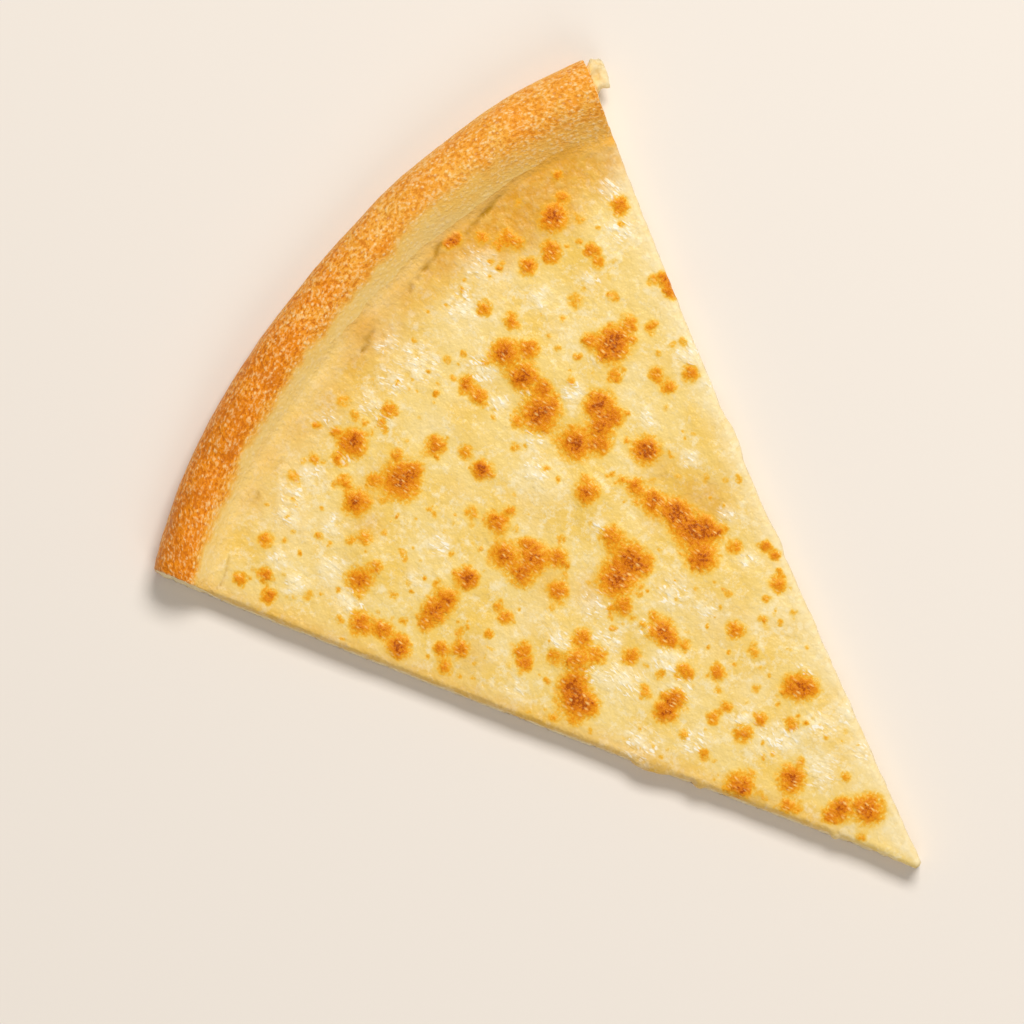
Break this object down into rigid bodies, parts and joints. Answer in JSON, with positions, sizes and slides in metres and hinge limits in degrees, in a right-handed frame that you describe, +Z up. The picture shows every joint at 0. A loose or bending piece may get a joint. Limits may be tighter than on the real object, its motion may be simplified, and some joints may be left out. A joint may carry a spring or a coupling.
{
  "type": "cheese pizza slice",
  "caption": "Thin wedge-shaped pizza slice with a raised browned rim, a pale dough base and a melted, unevenly browned cheese layer, lying flat.",
  "frame": {"origin": "on the surface the slice lies on, under the middle of its outline box", "axes": "+Y from the tip towards the rim, +Z up, +X towards the longer cut side"},
  "size_m": [0.1824, 0.2298, 0.0174],
  "materials": {
    "crust": "matte, finely grained, golden brown on the rim, pale on its inner slope and at the cuts",
    "melted_cheese": "semi-gloss, rippled, cream yellow with orange-brown baked spots"
  },
  "bodies": {
    "root": {"dough": "crust", "cheese": "melted_cheese"}
  },
  "joints": []
}
